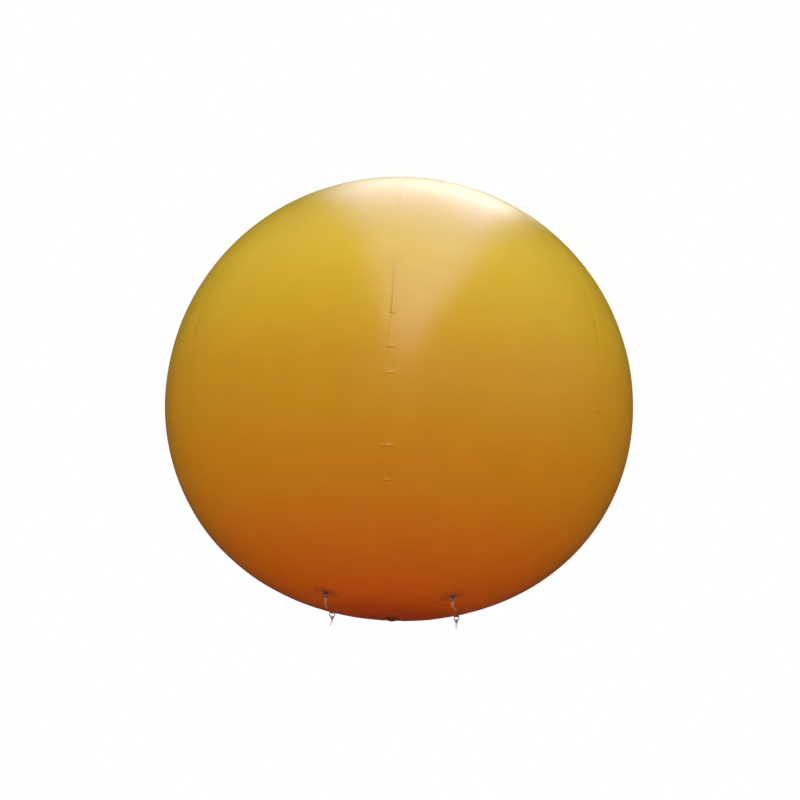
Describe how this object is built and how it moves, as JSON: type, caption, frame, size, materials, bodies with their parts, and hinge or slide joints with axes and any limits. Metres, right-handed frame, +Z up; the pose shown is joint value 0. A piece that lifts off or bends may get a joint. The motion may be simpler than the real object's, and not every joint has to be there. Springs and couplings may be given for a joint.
{
  "type": "round advertising balloon",
  "caption": "Round, slightly flattened helium advertising balloon of welded golden film gores, with tie rings and a filling valve under it.",
  "frame": {"origin": "the middle of the balloon, which floats in the air", "axes": "+Z up through the crown, -Y out over the front seam, +X to the right of it"},
  "size_m": [3.0018, 3.0064, 2.8639],
  "materials": {
    "gold_film": "glossy welded vinyl film",
    "seam_film": "doubled glossy vinyl film",
    "patch_film": "doubled vinyl disc, satin from the weld",
    "webbing": "woven polyester webbing",
    "stainless_steel": "polished wire",
    "tie_rope": "braided tan cord",
    "moulded_vinyl": "moulded soft vinyl, red-brown"
  },
  "bodies": {
    "envelope": {"gore_1": "gold_film", "gore_2": "gold_film", "gore_3": "gold_film", "gore_4": "gold_film", "gore_5": "gold_film", "gore_6": "gold_film", "seam_1": "seam_film", "seam_2": "seam_film", "seam_3": "seam_film", "seam_4": "seam_film", "seam_5": "seam_film", "seam_6": "seam_film", "crown_patch": "seam_film", "base_patch": "seam_film", "tie_patch_1": "patch_film", "tie_patch_2": "patch_film", "tie_patch_3": "patch_film", "tie_patch_4": "patch_film", "tie_strap_1": "webbing", "tie_strap_2": "webbing", "tie_strap_3": "webbing", "tie_strap_4": "webbing", "valve_flange": "moulded_vinyl", "valve_neck": "moulded_vinyl"},
    "ring_1": {"d_ring_1": "stainless_steel", "tie_knot_1": "tie_rope", "tie_cord_1": "tie_rope"},
    "ring_2": {"d_ring_2": "stainless_steel", "tie_knot_2": "tie_rope", "tie_cord_2": "tie_rope"},
    "ring_3": {"d_ring_3": "stainless_steel", "tie_knot_3": "tie_rope", "tie_cord_3": "tie_rope"},
    "ring_4": {"d_ring_4": "stainless_steel", "tie_knot_4": "tie_rope", "tie_cord_4": "tie_rope"},
    "valve_cap": {"valve_cap": "moulded_vinyl"}
  },
  "joints": [
    {"name": "ring_1_swing", "type": "hinge", "parent": "envelope", "child": "ring_1", "pos_m": [-0.40101, -0.40101, -1.33753], "axis": [0.7071, -0.7071, 0], "range_deg": [-95, 58]},
    {"name": "ring_2_swing", "type": "hinge", "parent": "envelope", "child": "ring_2", "pos_m": [0.40101, -0.40101, -1.33753], "axis": [0.7071, 0.7071, 0], "range_deg": [-95, 58]},
    {"name": "ring_3_swing", "type": "hinge", "parent": "envelope", "child": "ring_3", "pos_m": [0.40101, 0.40101, -1.33753], "axis": [-0.7071, 0.7071, 0], "range_deg": [-95, 58]},
    {"name": "ring_4_swing", "type": "hinge", "parent": "envelope", "child": "ring_4", "pos_m": [-0.40101, 0.40101, -1.33753], "axis": [-0.7071, -0.7071, 0], "range_deg": [-95, 58]},
    {"name": "valve_cap_hinge", "type": "hinge", "parent": "envelope", "child": "valve_cap", "pos_m": [0, 0.034, -1.43581], "axis": [1, 0, 0], "range_deg": [0, 150]}
  ]
}
